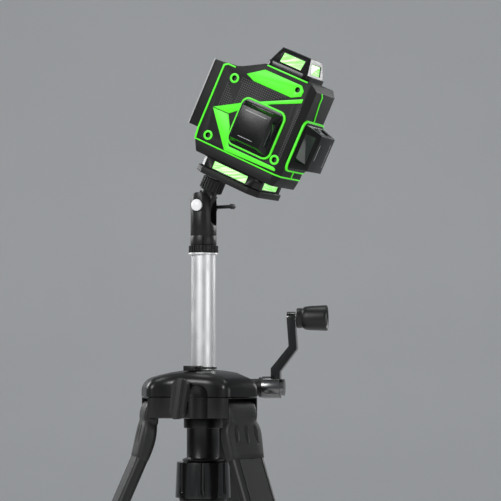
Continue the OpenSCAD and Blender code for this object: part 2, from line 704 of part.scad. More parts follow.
// beam head standing on +Z, root at the origin
module head_shell(a, b, h, t) {
    difference() {
        union() {
            translate([0, 0, 0]) linear_extrude(t) round_rect(a, a, 7);
            translate([0, 0, t]) frustum(a/2 - 2.2, b/2, h - t);
        }
        head_cuts(a, b, h, t);
    }
}

module head_cuts(a, b, h, t) {
    for (q = [0, 90]) rotate([0, 0, q]) translate([-a, -b/2 + 4, t + 2])
        cube([2*a, b - 8, h - t - 6.5]);
}

module head_glass(a, b, h, t) {
    intersection() {
        translate([0, 0, t]) frustum(a/2 - 3.2, b/2 - 1, h - t);
        head_cuts(a, b, h, t);
    }
}

module side_place() { translate([head_x, -hy, head_z]) rotate([90, 0, 0]) children(); }
module front_place() { translate([bx1, 0, head_z]) rotate([0, 90, 0]) children(); }
module top_place() { translate([0, 0, bz1]) children(); }

module side_head() color([0.03, 0.03, 0.03]) laser_frame() side_place() head_shell(side_root - 3.6, side_tip, side_out, 3);
module front_head() color([0.03, 0.03, 0.03]) laser_frame() front_place() head_shell(head_root - 3.6, head_tip, head_out, 3);
module top_head() color([0.03, 0.03, 0.03]) laser_frame() top_place() head_shell(top_root, 32, 21, 5);

module laser_windows() color([0.5, 0.9, 0.5]) laser_frame() {
    side_place() head_glass(side_root - 3.6, side_tip, side_out, 3);
    front_place() head_glass(head_root - 3.6, head_tip, head_out, 3);
    top_place() head_glass(top_root, 32, 21, 5);
    translate([base_x, 0, 0]) for (a = [0, 90, 180, 270]) rotate([0, 0, a])
        translate([a % 180 == 0 ? base_w/2 - 6 : body_w/2 - 3, -19.5, base_t + 1.6]) cube([2.4, 39, 7.4]);
}

module ring_frame(a) {
    difference() {
        linear_extrude(2) round_rect(a, a, 8);
        translate([0, 0, -ee]) linear_extrude(4) round_rect(a - 3.5, a - 3.5, 6.5);
    }
}

// raised green panels of one face, drawn in the laser's X and Z
panels = [
    [[-34.2, 106], [-24.3, 102.3], [18.4, 102.3], [27.6, 107], [28.2, 112.6], [24.1, 116.9], [-17.7, 116.9]],
    [[-53.8, 63.4], [-35.8, 63.6], [-26, 71.5], [2, 88.6], [31, 101.4], [30.7, 105.5], [-26, 79]],
    [[-53.8, 62.6], [-25.1, 28.9], [32.3, 31], [32.3, 33], [29.5, 34.3], [-22, 34.3], [-26.6, 40],
        [-29.2, 52.2], [-35.8, 62.8]],
    // lines down the rear edge and under the top
    [[-60.2, 28.6], [-58.4, 28.6], [-59.6, 38.5], [-59.6, 104.8], [-56.2, 106.8], [-48, 106.8], [-48, 108.3],
        [-56.8, 108.3], [-61.3, 105.8], [-61.3, 38.5]],
    [[-17.8, 121], [28.2, 121], [28.2, 122.4], [-17.2, 122.4]]];
// seam line of the front face, in Y and Z
seam_lines = [
    [[-2.8, 88.4], [-1.2, 88.4], [-6.3, 106.5], [-6.3, 113], [-10.6, 116.6], [-12.6, 116.6], [-7.9, 112.6],
        [-7.9, 106.2]],
    [[-0.8, 28.6], [0.8, 28.6], [0.8, 35], [-0.8, 35]]];

module laser_trim() color([0.45, 1, 0.25]) laser_frame() {
    // band between the body and its skirt
    intersection() {
        laser_block();
        translate([bx0 - 10, -hy - ee, band_z - 0.6]) cube([body_l + 20, body_w + 2*ee, 1.4]);
    }
    side_place() ring_frame(side_root);
    front_place() ring_frame(head_root);
    for (p = seam_lines) along(bx1, bx1 + trim) polygon([for (q = p) [q[0], on_face(q)[1]]]);
    for (s = [0, 1]) mirror([0, s, 0]) translate([0, -hy, 0]) {
        difference() {
            for (p = panels) rotate([90, 0, 0]) linear_extrude(trim) polygon([for (q = p) on_face(q)]);
            translate([screw_spots[3][0], 0, screw_spots[3][1]]) yrod(2.7, -3, 3);
            // room for the lock switch on the far face
            if (s == 1) translate([bx0 + 38, -3, bz0 + 88.5]) cube([28, 6, 8]);
            // room for the side head and its ring
            if (s == 0) translate([head_x, 0, head_z]) rotate([90, 0, 0])
                linear_extrude(10, center = true) round_rect(side_root - 1, side_root - 1, 7.5);
        }
        difference() {
            for (k = [0:2]) translate([screw_spots[k][0], 0, screw_spots[k][1]]) rotate([90, 0, 0]) difference() {
                cylinder(r = 4.8, h = trim);
                translate([0, 0, -ee]) cylinder(r = 2.8, h = 4);
            }
            if (s == 0) translate([head_x, 0, head_z]) rotate([90, 0, 0]) linear_extrude(6, center = true)
                round_rect(side_root - 3.5, side_root - 3.5, 6.5);
        }
    }
}

module body_screws() color([0.3, 0.3, 0.31]) laser_frame()
    for (p = screw_spots, s = [0, 1]) mirror([0, s, 0]) translate([p[0], -hy + 4, p[1]]) yrod(2.6, -1.6, 0);

module battery_pack() color([0.04, 0.04, 0.04]) laser_frame() difference() {
    union() {
        intersection() {
            battery_block(0);
            translate([bx0 - ee, -40, 0]) cube([60, 80, 200]);
        }
        translate([bx0 - 12.9, -26, bz0 + 22]) cube([12.5, 52, body_h - 38]);
    }
    for (k = [0:7]) translate([bx0 - 13.9, -20, bz0 + 28 + 7.4*k]) cube([2.6, 40, 2.6]);
}

module power_button() color([0.6, 0.9, 0.5]) laser_frame() button_frame()
    translate([-6.2, -7.5, -0.9]) cube([12.4, 15, 3.2]);

module lock_switch() color([0.1, 0.1, 0.1]) laser_frame() {
    translate([bx0 + 41, hy - 1.8, bz0 + 90.4]) cube([9, 1.8, 4.2]);
    translate([bx0 + 42, hy, bz0 + 90.8]) cube([7, 2, 3.4]);
}

// ---- show ----

crown_body();
crown_cover();
column_clamp();
leg_pivot_pins();
guide_tube();
guide_tip();
guide_collar();
crank_bush();
wing_knob();
column_tube();
column_rack();
column_end_cap();
weight_hook();
head_flange();
head_body();
pan_ring();
tilt_pin();
tilt_arm();
mount_screw();
grip_sleeve();
tilt_lever();
pinion();
crank_shaft();
crank_hub();
crank_arm();
knob_axle();
crank_knob();
leg_1_casting();
leg_1_upper_tube();
leg_1_lock_housing();
leg_1_lock_lever();
leg_1_lower_tube();
leg_1_foot();
leg_2_casting();
leg_2_upper_tube();
leg_2_lock_housing();
leg_2_lock_lever();
leg_2_lower_tube();
leg_2_foot();
leg_3_casting();
leg_3_upper_tube();
leg_3_lock_housing();
leg_3_lock_lever();
leg_3_lower_tube();
leg_3_foot();
laser_base();
bottom_head();
laser_skirt();
laser_body();
side_head();
front_head();
top_head();
laser_windows();
laser_trim();
body_screws();
battery_pack();
power_button();
lock_switch();
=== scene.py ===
import json
import math

import bmesh
import bpy
from mathutils import Matrix, Vector

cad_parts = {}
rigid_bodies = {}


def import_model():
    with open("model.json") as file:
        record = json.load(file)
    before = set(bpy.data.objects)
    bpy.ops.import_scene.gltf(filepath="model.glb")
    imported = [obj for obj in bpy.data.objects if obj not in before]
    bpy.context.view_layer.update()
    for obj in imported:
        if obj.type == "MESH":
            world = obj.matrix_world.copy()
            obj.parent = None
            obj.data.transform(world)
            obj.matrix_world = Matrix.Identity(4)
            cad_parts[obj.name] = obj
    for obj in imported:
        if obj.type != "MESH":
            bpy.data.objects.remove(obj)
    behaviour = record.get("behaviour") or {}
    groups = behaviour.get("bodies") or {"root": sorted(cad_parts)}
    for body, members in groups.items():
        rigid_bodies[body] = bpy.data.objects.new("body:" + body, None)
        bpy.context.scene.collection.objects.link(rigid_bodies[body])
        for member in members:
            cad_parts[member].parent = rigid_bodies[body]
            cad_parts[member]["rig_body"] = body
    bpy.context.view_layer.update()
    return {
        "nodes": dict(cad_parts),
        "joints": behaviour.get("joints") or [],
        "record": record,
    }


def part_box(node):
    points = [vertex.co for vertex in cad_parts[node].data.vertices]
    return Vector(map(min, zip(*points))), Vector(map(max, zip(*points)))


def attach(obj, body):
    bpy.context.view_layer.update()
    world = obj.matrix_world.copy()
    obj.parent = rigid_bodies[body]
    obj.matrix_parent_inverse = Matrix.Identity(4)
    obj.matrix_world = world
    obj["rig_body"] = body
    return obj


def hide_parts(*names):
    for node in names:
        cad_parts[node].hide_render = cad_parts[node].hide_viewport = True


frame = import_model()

nodes = frame["nodes"]
joints = {j["name"]: j for j in frame["joints"]}
mm = 0.001


# places, all read from the frame

def axisOf(name):
    return Vector(joints[name]["axis"]).normalized()


def pointOf(name):
    return Vector(joints[name]["pos_m"])


def seatAt(origin, xAxis, zAxis):
    # millimetres on a seat's own axes, carried to metres in the frame
    yAxis = zAxis.cross(xAxis)
    turn = Matrix((xAxis, yAxis, zAxis)).transposed().to_4x4()
    return Matrix.Translation(origin) @ turn @ Matrix.Scale(mm, 4)


up = Vector((0, 0, 1))
columnPoint = Vector((pointOf("head_pan").x, pointOf("head_pan").y, 0))
columnSeat = seatAt(columnPoint, Vector((1, 0, 0)), up)

crankAxis = axisOf("crank_turn")

hingeAxis = axisOf("tilt_hinge")
tiltAxis = axisOf("laser_turn")
tiltSeat = seatAt(pointOf("tilt_hinge"), hingeAxis.cross(tiltAxis), tiltAxis)

laserFront = -axisOf("battery_slide")
baseMid = -10.5                       # base plate's middle, behind the top head
pivotUp = 8                           # the turning joint, above the plate's underside
laserSeat = seatAt(pointOf("laser_turn") - (baseMid * laserFront + pivotUp * tiltAxis) * mm, laserFront, tiltAxis)


def legSeat(n):
    side = axisOf(f"leg_{n}_fold")
    rise = -axisOf(f"leg_{n}_extend")
    return seatAt(pointOf(f"leg_{n}_fold"), side.cross(rise), rise)


def topOf(node):
    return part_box(node)[1].z / mm


def footOf(node):
    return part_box(node)[0].z / mm


class Wire:
    # an output that takes part in sums
    def __init__(self, finish, socket):
        self.finish, self.socket = finish, socket

    def sum(self, operation, *values):
        return self.finish.add("ShaderNodeMath", {"operation": operation}, values)

    def __add__(self, other):
        return self.sum("ADD", self, other)

    def __sub__(self, other):
        return self.sum("SUBTRACT", self, other)

    def __rsub__(self, other):
        return self.sum("SUBTRACT", other, self)

    def __mul__(self, other):
        return self.sum("MULTIPLY", self, other)

    __radd__ = __add__
    __rmul__ = __mul__


class Finish:
    def __init__(self, name, fixed):
        self.material = bpy.data.materials.new(name)
        self.material.use_nodes = True
        self.tree = self.material.node_tree
        self.shader = self.tree.nodes["Principled BSDF"]
        for socket, value in fixed.items():
            self.shader.inputs[socket].default_value = value
        self.place = self.add("ShaderNodeTexCoord", out="Object")

    def add(self, kind, settings=None, values=(), out=0):
        node = self.tree.nodes.new(kind)
        for key, value in (settings or {}).items():
            setattr(node, key, value)
        pairs = values.items() if isinstance(values, dict) else enumerate(values)
        for key, value in pairs:
            if isinstance(value, Wire):
                self.tree.links.new(value.socket, node.inputs[key])
            else:
                node.inputs[key].default_value = value
        return Wire(self, node.outputs[out])

    def feed(self, socket, wire):
        self.tree.links.new(wire.socket, self.shader.inputs[socket])

    def noise(self, scale, detail=2.0, place=None, rough=0.5):
        return self.add("ShaderNodeTexNoise", {}, {"Vector": place or self.place, "Scale": scale,
                                                   "Detail": detail, "Roughness": rough}, "Fac")

    def stretched(self, scale):
        return self.add("ShaderNodeMapping", {}, {"Vector": self.place, "Scale": scale})

    def between(self, wire, low, high):
        # 0 under low, 1 over high, and smooth from one to the other
        return self.add("ShaderNodeMapRange", {"interpolation_type": "SMOOTHSTEP"},
                        {"Value": wire, "From Min": low, "From Max": high})

    def blend(self, mask, first, second):
        return self.add("ShaderNodeMix", {"data_type": "RGBA"}, {0: mask, 6: first, 7: second}, 2)

    def raised(self, height, depth):
        self.feed("Normal", self.add("ShaderNodeBump", {}, {"Height": height, "Distance": depth, "Strength": 1.0},
                                     "Normal"))


def shade(value, warm=0.0):
    return (value * (1 + warm), value, value * (1 - warm), 1)


def moulded(name, tone, rough, grain=0.00006, dust=0.35, grainScale=1500, gloss=0.3):
    # moulded plastic: fine grain, soft blotches of sheen, a little dust and handling
    look = Finish(name, {"Specular IOR Level": gloss})
    grainHeight = look.noise(grainScale, 3)
    blotch = look.between(look.noise(28, 4), 0.35, 0.7)
    specks = look.between(look.noise(420, 2), 0.66, 0.74)
    worn = look.between(look.noise(75, 6, rough=0.7), 0.6, 0.8)
    base = look.blend(blotch * dust, shade(tone), shade(tone * 1.9))
    base = look.blend(specks * 0.12, base, shade(tone * 3 + 0.01))
    look.feed("Base Color", base)
    look.feed("Roughness", blotch * 0.10 + worn * 0.08 + (rough - 0.05))
    look.raised(grainHeight + worn * 0.4, grain)
    return look.material


def polished(name, tone, rough):
    # glossy plastic: clean, with a few fine rubs
    look = Finish(name, {"Specular IOR Level": 0.5, "Coat Weight": 0.25, "Coat Roughness": 0.05})
    rubs = look.between(look.noise(1.0, 5, look.stretched((900, 900, 90)), 0.6), 0.55, 0.8)
    cloud = look.noise(40, 3)
    look.feed("Base Color", look.blend(cloud * 0.5, shade(tone), shade(tone * 1.8)))
    look.feed("Roughness", rubs * 0.14 + cloud * 0.06 + rough)
    look.raised(look.noise(160, 2), 0.00003)
    return look.material


def brushed(name, tone, rough, along=6.0, across=1800.0):
    # drawn metal: long faint lines, with dull patches where it has been handled
    look = Finish(name, {"Metallic": 1.0, "Anisotropic": 0.2})
    lines = look.noise(1.0, 4, look.stretched((across, across, along)), 0.6)
    broad = look.noise(1.0, 2, look.stretched((260, 260, 2.0)))
    patches = look.between(look.noise(45, 5), 0.4, 0.75)
    pits = look.between(look.noise(520, 1), 0.71, 0.76)
    base = look.blend(lines, shade(tone * 0.84), shade(min(1, tone * 1.08)))
    base = look.blend(broad * 0.5, base, shade(tone * 0.78))
    look.feed("Base Color", look.blend(pits * 0.5, base, shade(tone * 0.5)))
    look.feed("Roughness", lines * 0.12 + patches * 0.12 + (rough - 0.06))
    look.raised(lines + broad * 0.8, 0.00003)
    return look.material


def legMetal(name, tone, metal, rough):
    # dark anodised tube: fine speckle and lengthwise drawing lines
    look = Finish(name, {"Metallic": metal, "Specular IOR Level": 0.35})
    speckle = look.noise(1900, 2)
    lines = look.noise(1.0, 3, look.stretched((700, 700, 12)))
    rub = look.between(look.noise(24, 5, rough=0.65), 0.5, 0.75)
    base = look.blend(speckle * 0.7, shade(tone * 0.75), shade(tone * 1.5))
    look.feed("Base Color", look.blend(rub * 0.35, base, shade(tone * 1.9)))
    look.feed("Roughness", speckle * 0.1 + lines * 0.08 + rub * 0.06 + rough)
    look.raised(speckle + lines * 0.6, 0.00004)
    return look.material


def rubbery(name, tone):
    look = Finish(name, {"Specular IOR Level": 0.35})
    fine = look.noise(1200, 3)
    scuff = look.between(look.noise(60, 6, rough=0.7), 0.55, 0.75)
    look.feed("Base Color", look.blend(scuff * 0.5, shade(tone), shade(tone * 2.6, 0.04)))
    look.feed("Roughness", fine * 0.1 + scuff * 0.1 + 0.62)
    look.raised(fine + scuff * 0.5, 0.00009)
    return look.material


def greenPart(name, low, high, glow):
    # bright green plastic, a shade uneven, with a satin skin; its emission is a painted glow that makes it brighter
    # than the lamps alone would light it
    look = Finish(name, {"Specular IOR Level": 0.4, "Emission Strength": glow})
    cloud = look.noise(60, 3)
    fine = look.noise(1700, 2)
    tint = look.blend(cloud, low, high)
    look.feed("Base Color", tint)
    look.feed("Emission Color", tint)
    look.feed("Roughness", fine * 0.12 + 0.38)
    look.raised(fine, 0.00003)
    return look.material


def windowGlass(name):
    look = Finish(name, {"Transmission Weight": 0.9, "IOR": 1.45, "Coat Weight": 0.3})
    smear = look.between(look.noise(90, 4), 0.4, 0.7)
    look.feed("Base Color", look.blend(smear, (0.72, 0.98, 0.70, 1), (0.60, 0.92, 0.60, 1)))
    look.feed("Roughness", smear * 0.08 + 0.03)
    return look.material


def emitterGlow(name, strength):
    # lit optic: brightest along its middle line
    look = Finish(name, {"Emission Strength": strength, "Specular IOR Level": 0.5})
    streak = look.between(look.noise(1.0, 3, look.stretched((60, 60, 900))), 0.3, 0.75)
    tint = look.blend(streak, (0.20, 0.90, 0.12, 1), (0.70, 1.0, 0.55, 1))
    look.feed("Base Color", tint)
    look.feed("Emission Color", tint)
    look.feed("Roughness", streak * 0.2 + 0.1)
    return look.material


def darkGlass(name):
    # smoked cover over an optic; under the noise mask it is greener, a painted green glint of the laser's light, and
    # rougher, as where it is smeared
    look = Finish(name, {"Specular IOR Level": 0.8, "Coat Weight": 0.8, "Coat Roughness": 0.03})
    smear = look.between(look.noise(70, 4), 0.4, 0.7)
    look.feed("Base Color", look.blend(smear, (0.004, 0.010, 0.005, 1), (0.012, 0.035, 0.014, 1)))
    look.feed("Roughness", smear * 0.08 + 0.05)
    return look.material


looks = {
    "cast_black": moulded("castPlastic", 0.007, 0.40),
    "cover_black": moulded("coverPlastic", 0.0055, 0.33, grain=0.00004),
    "gloss_black": polished("glossPlastic", 0.004, 0.16),
    "knurl_black": moulded("gripPlastic", 0.007, 0.40, grain=0.00008),
    "castGrey": legMetal("legCasting", 0.017, 0.30, 0.40),
    "tube_silver": brushed("drawnTube", 0.74, 0.42),
    "steel": brushed("turnedSteel", 0.40, 0.28, along=500.0, across=900.0),
    "pin_white": moulded("paleCap", 0.80, 0.35, grain=0.00003, dust=0.1),
    "leg_dark": legMetal("anodisedLeg", 0.022, 0.5, 0.34),
    "rubber": rubbery("footRubber", 0.010),
    "laser_black": moulded("bodyPlastic", 0.0075, 0.52, grain=0.00010, grainScale=1900, gloss=0.2),
    "head_gloss": moulded("opticCover", 0.003, 0.24, grain=0.00002, gloss=0.32),
    "window": windowGlass("opticGlass"),
    # the green trim and the button carry a painted glow through their emission
    "trim_green": greenPart("greenTrim", (0.05, 0.62, 0.012, 1), (0.09, 0.72, 0.02, 1), 0.42),
    "button_green": greenPart("greenButton", (0.30, 0.78, 0.22, 1), (0.42, 0.86, 0.32, 1), 0.15),
    "glow": emitterGlow("litOptic", 0.75),
    "darkGlass": darkGlass("tintedOptic"),
    "hubMetal": brushed("hubMetal", 0.16, 0.24, along=500.0, across=900.0),
    "dotGrey": moulded("dotGrey", 0.060, 0.40, grain=0.00002, dust=0.2),
    "bladeGrey": moulded("bladeGrey", 0.020, 0.5, dust=0.25),
    # pale finish for strips that paint highlights onto edges
    "paintedHighlight": moulded("paintedEdgeHighlight", 0.45, 0.30, grain=0.00003, dust=0.1),
}
print("finishes:", len(looks))


def settle(name, mesh, body, look, stands=(), seat=None, sharp=32):
    # puts a mesh in the frame, gives it its finish and its body
    if seat is not None:
        mesh.transform(seat)
    mesh.materials.clear()
    mesh.materials.append(looks[look])
    mesh.shade_smooth()
    mesh.set_sharp_from_angle(angle=math.radians(sharp))
    piece = bpy.data.objects.new(name, mesh)
    bpy.context.scene.collection.objects.link(piece)
    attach(piece, body)
    if stands:
        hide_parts(*stands)
    return piece


def meshFrom(shape, name, outward=True):
    if outward:
        bmesh.ops.recalc_face_normals(shape, faces=shape.faces)
    mesh = bpy.data.meshes.new(name)
    shape.to_mesh(mesh)
    shape.free()
    return mesh


def easeEdges(shape, width, steps, turn=30):
    corners = [e for e in shape.edges if len(e.link_faces) == 2 and e.calc_face_angle(0) > math.radians(turn)]
    if corners:
        bmesh.ops.bevel(shape, geom=corners, offset=width, segments=steps, profile=0.5, affect="EDGES",
                        clamp_overlap=True, loop_slide=True)


def eased(node, width, look, steps=2):
    # the node's own shape with its edges rounded over
    shape = bmesh.new()
    shape.from_mesh(nodes[node].data)
    bmesh.ops.remove_doubles(shape, verts=shape.verts, dist=2e-6)
    bmesh.ops.dissolve_limit(shape, angle_limit=math.radians(0.6), verts=shape.verts, edges=shape.edges)
    easeEdges(shape, width * mm, steps)
    return settle(node + "_eased", meshFrom(shape, node, False), nodes[node]["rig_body"], look, stands=(node,))


def lathe(shape, profile, steps=72, seat=None):
    # turns (radius, height) pairs about Z; the profile is a closed loop
    rings = []
    for k in range(steps):
        a = 2 * math.pi * k / steps
        rings.append([shape.verts.new((r * math.cos(a), r * math.sin(a), z)) for r, z in profile])
    for k in range(steps):
        here, there = rings[k], rings[(k + 1) % steps]
        for i in range(len(profile)):
            j = (i + 1) % len(profile)
            shape.faces.new((here[i], there[i], there[j], here[j]))
    if seat is not None:
        bmesh.ops.transform(shape, matrix=seat, verts=[v for ring in rings for v in ring])


def prism(shape, outline, low, high, seat=None):
    # a flat outline carried from low to high along Z
    under = [shape.verts.new((x, y, low)) for x, y in outline]
    over = [shape.verts.new((x, y, high)) for x, y in outline]
    shape.faces.new(under[::-1])
    shape.faces.new(over)
    for i in range(len(outline)):
        j = (i + 1) % len(outline)
        shape.faces.new((under[i], under[j], over[j], over[i]))
    if seat is not None:
        bmesh.ops.transform(shape, matrix=seat, verts=under + over)


def block(shape, low, high, seat=None):
    (x0, y0, z0), (x1, y1, z1) = low, high
    prism(shape, [(x0, y0), (x1, y0), (x1, y1), (x0, y1)], z0, z1, seat)


def loft(shape, rows):
    # joins rows of equal length, and closes both ends
    rings = [[shape.verts.new(p) for p in row] for row in rows]
    for low, high in zip(rings, rings[1:]):
        for i in range(len(low)):
            j = (i + 1) % len(low)
            shape.faces.new((low[i], low[j], high[j], high[i]))
    shape.faces.new(rings[0][::-1])
    shape.faces.new(rings[-1])


def turned(x=0, y=0, z=0):
    return Matrix.Rotation(math.radians(z), 4, "Z") @ Matrix.Rotation(math.radians(y), 4, "Y") @ \
        Matrix.Rotation(math.radians(x), 4, "X")


def moved(x, y, z):
    return Matrix.Translation((x, y, z))


def carve(mesh, cutter, name):
    # takes the cutter's shape out of the mesh
    host = bpy.data.objects.new(name, mesh)
    tool = bpy.data.objects.new(name + "Tool", cutter)
    for item in (host, tool):
        bpy.context.scene.collection.objects.link(item)
    cut = host.modifiers.new("cut", "BOOLEAN")
    cut.operation, cut.object, cut.solver = "DIFFERENCE", tool, "EXACT"
    result = bpy.data.meshes.new_from_object(host.evaluated_get(bpy.context.evaluated_depsgraph_get()))
    for item in (host, tool):
        bpy.data.objects.remove(item)
    return result


class Pattern:
    # a Geometry Nodes tree with named inputs, whose outcome is one plain mesh
    def __init__(self, name, **inputs):
        self.tree = bpy.data.node_groups.new(name, "GeometryNodeTree")
        face = self.tree.interface
        face.new_socket("Base", in_out="INPUT", socket_type="NodeSocketGeometry")
        self.keys = {}
        for key, kind in inputs.items():
            self.keys[key] = face.new_socket(key, in_out="INPUT", socket_type="NodeSocket" + kind).identifier
        face.new_socket("Made", in_out="OUTPUT", socket_type="NodeSocketGeometry")
        self.entry = self.tree.nodes.new("NodeGroupInput")

    def given(self, key):
        return self.entry.outputs[key]

    def add(self, kind, settings=None, values=None, out=0):
        node = self.tree.nodes.new(kind)
        for key, value in (settings or {}).items():
            setattr(node, key, value)
        for key, value in (values or {}).items():
            if isinstance(value, bpy.types.NodeSocket):
                self.tree.links.new(value, node.inputs[key])
            else:
                node.inputs[key].default_value = value
        return node.outputs[out]

    def close(self, shape):
        shape = self.add("GeometryNodeRealizeInstances", {}, {0: shape})
        shape = self.add("GeometryNodeSetMaterial", {}, {"Geometry": shape, "Material": self.given("Finish")})
        outcome = self.tree.nodes.new("NodeGroupOutput")
        self.tree.links.new(shape, outcome.inputs[0])

    def make(self, base, look, **sizes):
        # evaluates the tree on a mesh and hands back the plain result
        host = bpy.data.objects.new(self.tree.name, base)
        bpy.context.scene.collection.objects.link(host)
        step = host.modifiers.new("pattern", "NODES")
        step.node_group = self.tree
        step[self.keys["Finish"]] = looks[look]
        for key, value in sizes.items():
            step[self.keys[key]] = value
        made = bpy.data.meshes.new_from_object(host.evaluated_get(bpy.context.evaluated_depsgraph_get()))
        host.modifiers.clear()
        bpy.data.objects.remove(host)
        return made


def ribPattern():
    # upright round ribs on a ring about Z
    p = Pattern("ribRing", Finish="Material", Count="Int", Reach="Float", RibRadius="Float", RibLength="Float",
                Height="Float")
    ring = p.add("GeometryNodeMeshCircle", {}, {"Vertices": p.given("Count"), "Radius": p.given("Reach")})
    rod = p.add("GeometryNodeMeshCylinder", {}, {"Vertices": 10, "Radius": p.given("RibRadius"),
                                                 "Depth": p.given("RibLength")})
    ribs = p.add("GeometryNodeInstanceOnPoints", {}, {"Points": ring, "Instance": rod})
    lift = p.add("ShaderNodeCombineXYZ", {}, {"Z": p.given("Height")})
    p.close(p.add("GeometryNodeTransform", {}, {"Geometry": ribs, "Translation": lift}))
    return p


def dotPattern():
    # a field of low dots, kept where it lies over the base outline
    p = Pattern("dotField", Finish="Material", Width="Float", Height="Float", Columns="Int", Rows="Int",
                DotRadius="Float", DotRise="Float")
    grid = p.add("GeometryNodeMeshGrid", {}, {"Size X": p.given("Width"), "Size Y": p.given("Height"),
                                              "Vertices X": p.given("Columns"), "Vertices Y": p.given("Rows")})
    grid = p.add("GeometryNodeSetPosition", {}, {"Geometry": grid, "Offset": (0, 0, 5)})
    hit = p.add("GeometryNodeRaycast", {}, {"Target Geometry": p.given("Base"), "Ray Direction": (0, 0, -1),
                                            "Ray Length": 20.0})
    miss = p.add("FunctionNodeBooleanMath", {"operation": "NOT"}, {0: hit})
    grid = p.add("GeometryNodeDeleteGeometry", {"domain": "POINT"}, {"Geometry": grid, "Selection": miss})
    grid = p.add("GeometryNodeSetPosition", {}, {"Geometry": grid, "Offset": (0, 0, -5)})
    dot = p.add("GeometryNodeMeshCylinder", {}, {"Vertices": 6, "Radius": p.given("DotRadius"),
                                                 "Depth": p.given("DotRise")})
    p.close(p.add("GeometryNodeInstanceOnPoints", {}, {"Points": grid, "Instance": dot}))
    return p


def flatMesh(outlines, name):
    shape = bmesh.new()
    for outline in outlines:
        shape.faces.new([shape.verts.new((x, y, 0)) for x, y in outline])
    bmesh.ops.triangulate(shape, faces=shape.faces)
    return meshFrom(shape, name, False)


ribRing, dotField = ribPattern(), dotPattern()


def ribbed(name, node, body, look, seat, count, reach, ribRadius, ribLength, height, core):
    # a turned core with ribs round it
    bare = bpy.data.meshes.new(name)
    ribs = ribRing.make(bare, look, Count=count, Reach=reach, RibRadius=ribRadius, RibLength=ribLength, Height=height)
    settle(name + "_ribs", ribs, body, look, stands=(node,), seat=seat, sharp=50)
    shape = bmesh.new()
    lathe(shape, core, 64)
    settle(name + "_core", meshFrom(shape, name), body, look, stands=(node,), seat=seat)


# metres, and the rise is how far the line of sight climbs over the distance
view = {"distance": 1.70, "eye": 0.548, "aside": 0.047, "rise": 0.1215, "halfWide": 0.2505, "sensor": 36}


def makeView():
    scene = bpy.context.scene
    camera = bpy.data.objects.new("camera", bpy.data.cameras.new("camera"))
    scene.collection.objects.link(camera)
    scene.camera = camera
    camera.data.sensor_width = view["sensor"]
    slope = math.atan(view["rise"] / view["distance"])
    camera.data.lens = view["sensor"] / 2 / (view["halfWide"] / view["distance"]) / math.cos(slope)
    camera.location = (columnPoint.x + view["aside"], columnPoint.y - view["distance"], view["eye"])
    look = Vector((0, view["distance"], view["rise"]))
    camera.rotation_mode = "QUATERNION"
    camera.rotation_quaternion = look.to_track_quat("-Z", "Y")
    camera.data.clip_start, camera.data.clip_end = 0.05, 60


floor = {
    "half": 9,
    "sweep": [(-7, 0), (3.0, 0), (3.6, 0.06), (4.1, 0.25), (4.45, 0.6), (4.6, 1.1), (4.62, 6)],
}


def makeRoom():
    # a pale floor that sweeps up into a backdrop
    shape = bmesh.new()
    rows = []
    for y, z in floor["sweep"]:
        rows.append([shape.verts.new((x, y, z)) for x in (-floor["half"], floor["half"])])
    for a, b in zip(rows, rows[1:]):
        shape.faces.new((a[0], a[1], b[1], b[0]))
    mesh = meshFrom(shape, "room", False)
    mesh.shade_smooth()
    paint = Finish("paperFloor", {"Roughness": 0.85})
    paint.feed("Base Color", paint.blend(paint.noise(3, 2), shade(0.78), shade(0.82)))
    mesh.materials.append(paint.material)
    room = bpy.data.objects.new("room", mesh)
    bpy.context.scene.collection.objects.link(room)


sky = {"tone": (0.9, 0.95, 1, 1), "strength": 0.30}
lamps = [
    # name, place, aim height, size, strength
    ("keyLight", (-1.1, -1.5, 1.5), 0.65, 0.7, 26),
    ("fillLight", (1.5, -1.5, 0.9), 0.65, 0.9, 9),
    ("rimLight", (1.3, 0.9, 1.2), 0.7, 0.7, 11),
    ("backLight", (-1.3, 1.0, 1.3), 0.7, 0.7, 16),
    ("topLight", (0.0, 0.0, 2.4), 0.6, 0.8, 14),
]


def makeLight():
    bpy.context.scene.view_settings.view_transform = "Standard"
    world = bpy.data.worlds.new("world")
    bpy.context.scene.world = world
    world.use_nodes = True
    background = world.node_tree.nodes["Background"]
    background.inputs["Color"].default_value = sky["tone"]
    background.inputs["Strength"].default_value = sky["strength"]
    for name, place, aim, size, strength in lamps:
        lamp = bpy.data.lights.new(name, "AREA")
        lamp.size, lamp.energy = size, strength
        item = bpy.data.objects.new(name, lamp)
        bpy.context.scene.collection.objects.link(item)
        item.location = columnPoint + Vector(place)
        item.rotation_mode = "QUATERNION"
        toAim = Vector((columnPoint.x, columnPoint.y, aim)) - item.location
        item.rotation_quaternion = toAim.to_track_quat("-Z", "Y")


makeView()
makeRoom()
makeLight()
print("room and light made")


crown = {
    "waist": 41.0, "lobeHalf": 23.0, "lobeEnd": 59.6, "lobeRound": 8.0, "melt": 13.0,
    "edgeRound": 9.0, "domeRadius": 170.0, "lobes": (192, 312, 72),
    "bore": 12.3,                                        # round the column's tube
    "boreRim": 13.2, "boreTopAt": 13, "boreDrop": 0.6,   # the bore's mouth in the dome
    "slotFrom": 41, "slotTo": 80, "slotHalf": 18.3, "slotUp": 19.5,    # where a leg's tongue sits
    "rackHalf": 3.3, "rackOut": 13.9, "bushBore": 10.4, "bushFrom": 20, "bushTo": 90,
    "valleyTurn": 263, "valleyRadius": 12, "valleyOut": 7.5,
}
crownTop = topOf("crown_cover")
splitHeight = footOf("crown_cover")
crownFoot = footOf("crown_body")


